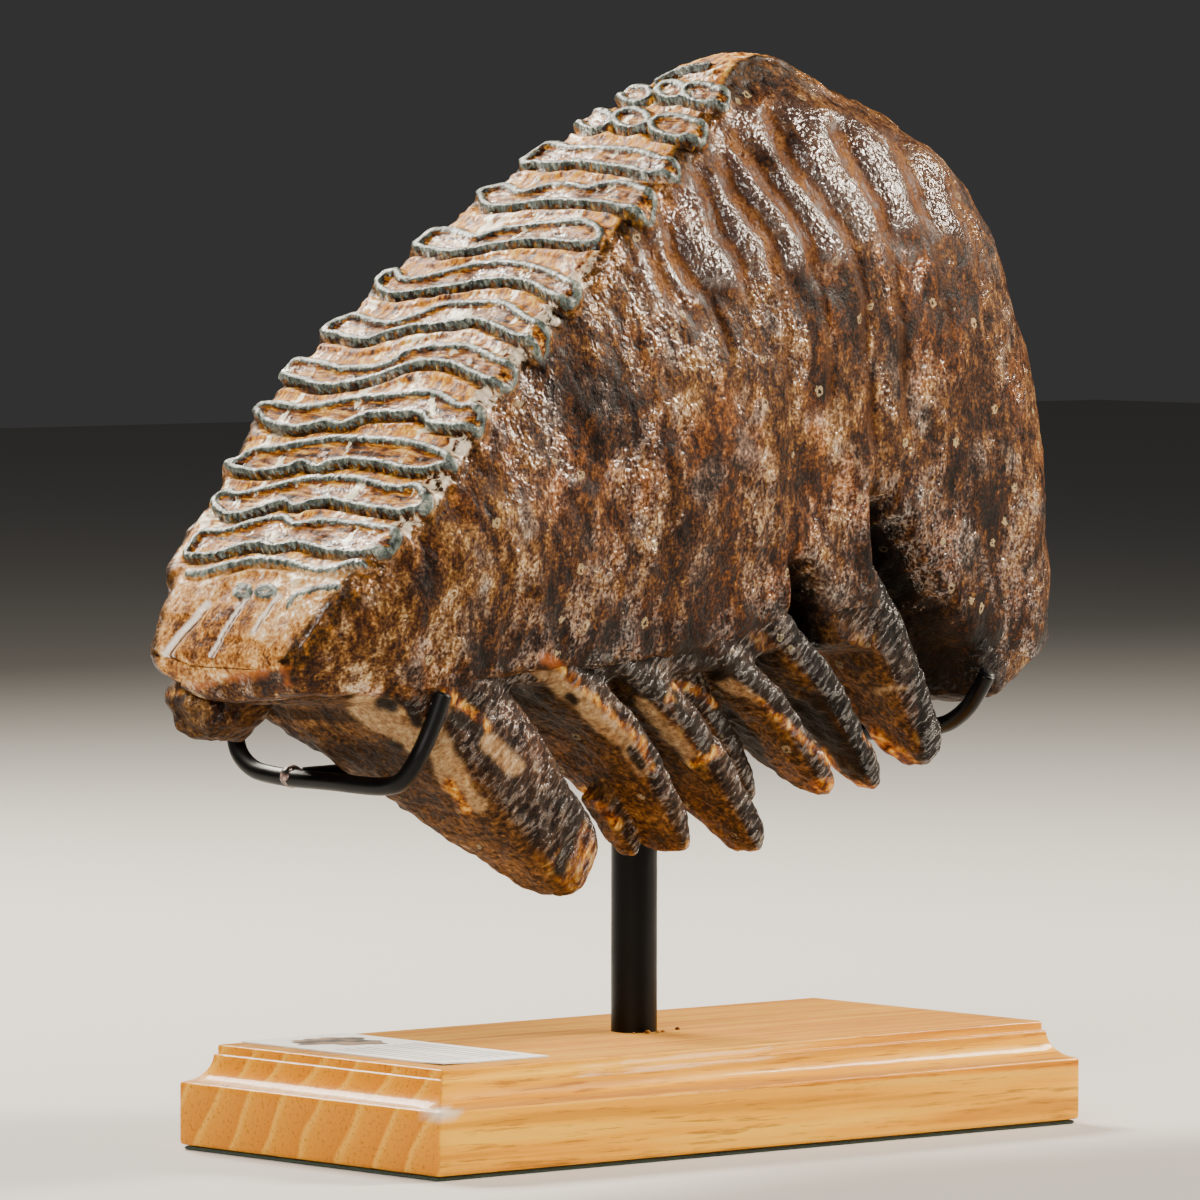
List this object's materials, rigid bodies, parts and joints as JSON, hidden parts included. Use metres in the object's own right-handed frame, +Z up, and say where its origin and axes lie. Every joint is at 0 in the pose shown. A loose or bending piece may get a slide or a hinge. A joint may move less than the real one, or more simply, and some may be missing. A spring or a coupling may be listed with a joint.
{
  "type": "mounted mammoth molar",
  "caption": "Whole fossil mammoth molar with a ridged chewing surface and splayed roots, lying in a black steel cradle on a post above a wooden base with a coved edge.",
  "frame": {"origin": "middle of the base's underside", "axes": "+Z up, +X along the base towards the tooth's back end, -Y towards the side with the long roots"},
  "size_m": [0.2961, 0.1052, 0.2808],
  "materials": {
    "tooth": "gloss",
    "steel": "satin",
    "wood": "gloss",
    "felt": "matte",
    "card": "matte"
  },
  "bodies": {
    "root": {"molar": "tooth", "front_cradle_wire": "steel", "rear_cradle_wire": "steel", "cradle_bar": "steel", "post": "steel", "wood_base": "wood", "felt_pad": "felt", "label_card": "card"}
  },
  "joints": []
}
